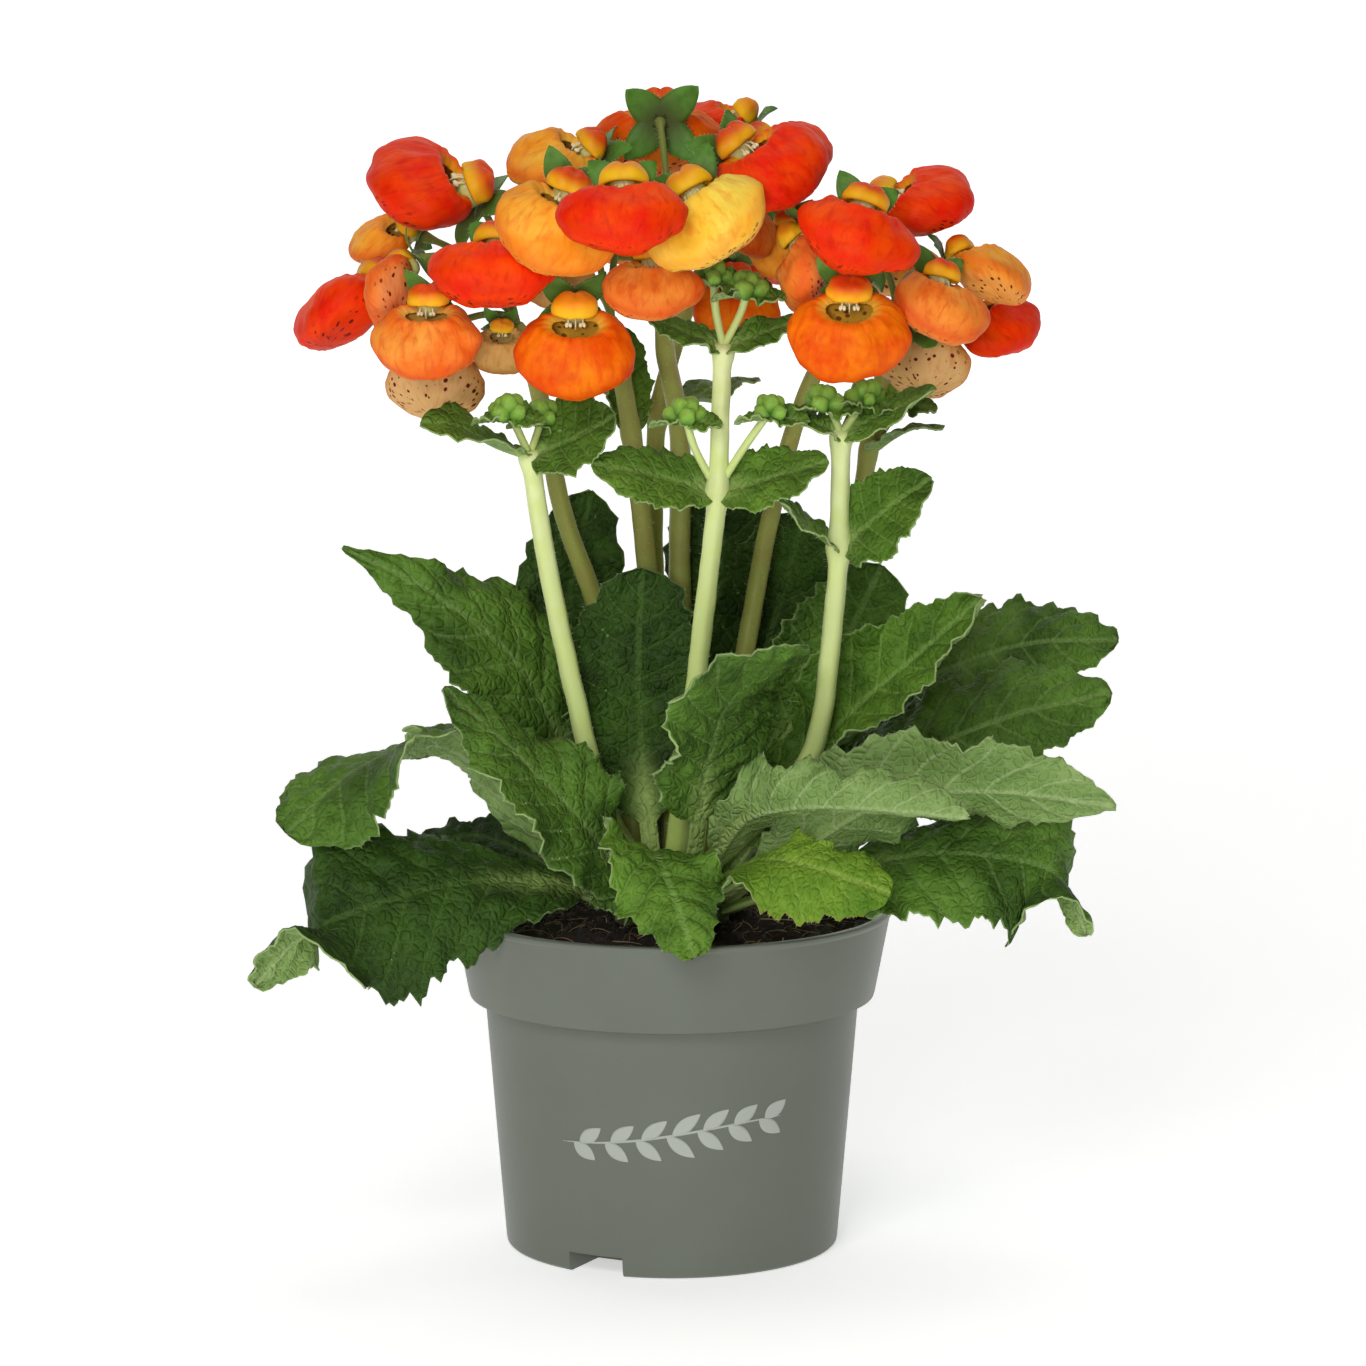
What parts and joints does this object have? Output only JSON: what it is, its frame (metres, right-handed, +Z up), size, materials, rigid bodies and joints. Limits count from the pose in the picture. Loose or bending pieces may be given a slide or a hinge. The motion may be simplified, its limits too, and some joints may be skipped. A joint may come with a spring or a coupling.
{
  "type": "pocketbook plant in a nursery pot",
  "caption": "Flowering pocketbook plant with slipper-shaped pouch blooms over a rosette of toothed leaves, standing in a plain round plastic nursery pot of peat.",
  "frame": {"origin": "centre of the pot's base, on the surface that it stands on", "axes": "+Z up, -Y the front, +X to the right as seen from the front"},
  "size_m": [0.2355, 0.1904, 0.314],
  "materials": {
    "pot_plastic": "satin injection-moulded polypropylene, sage grey",
    "peat": "damp dark potting peat with pale fibres",
    "leaf_green": "crinkled, hairy dark green leaf, paler below",
    "stem_green": "downy pale green stem, sepal and bud skin",
    "petal_red": "thin waxy petal, red",
    "petal_amber": "thin waxy petal, amber",
    "petal_salmon": "thin waxy petal, salmon",
    "petal_cream": "thin waxy petal, cream",
    "petal_orange": "thin waxy petal, orange",
    "petal_yellow": "thin waxy petal, yellow"
  },
  "bodies": {
    "root": {"pot": "pot_plastic", "soil": "peat", "crown": "leaf_green", "leaf_left_low": "leaf_green", "leaf_left_mid": "leaf_green", "leaf_left_high": "leaf_green", "leaf_front_up": "leaf_green", "leaf_right_narrow": "leaf_green", "leaf_right_high": "leaf_green", "leaf_right_mid": "leaf_green", "leaf_right_front": "leaf_green", "leaf_right_low": "leaf_green", "leaf_front_rolled": "leaf_green", "leaf_front_bright": "leaf_green", "leaf_front_centre": "leaf_green", "leaf_back_left": "leaf_green", "leaf_back_right": "leaf_green", "shoot_left_bud": "stem_green", "shoot_left": "stem_green", "shoot_mid_left": "stem_green", "shoot_centre_bud": "stem_green", "shoot_centre": "stem_green", "shoot_right_bud": "stem_green", "shoot_right": "stem_green", "shoot_far_right": "stem_green", "shoot_back": "stem_green", "bloom_01": "petal_red", "bloom_02": "petal_red", "bloom_03": "petal_amber", "bloom_04": "petal_salmon", "bloom_05": "petal_salmon", "bloom_06": "petal_cream", "bloom_07": "petal_cream", "bloom_08": "petal_red", "bloom_09": "petal_orange", "bloom_10": "petal_amber", "bloom_11": "petal_amber", "bloom_14": "petal_salmon", "bloom_15": "petal_cream", "bloom_12": "petal_red", "bloom_13": "petal_yellow", "bloom_16": "petal_red", "bloom_17": "petal_red", "bloom_18": "petal_red", "bloom_19": "petal_orange", "bloom_20": "petal_salmon", "bloom_29": "petal_orange", "bloom_21": "petal_salmon", "bloom_22": "petal_red", "bloom_23": "petal_orange", "bloom_31": "petal_amber", "bloom_24": "petal_red", "bloom_25": "petal_amber", "bloom_26": "petal_salmon", "bloom_27": "petal_red", "bloom_28": "petal_cream", "bloom_30": "petal_red", "bloom_32": "petal_orange", "bloom_33": "petal_red", "bloom_34": "petal_amber"}
  },
  "joints": []
}
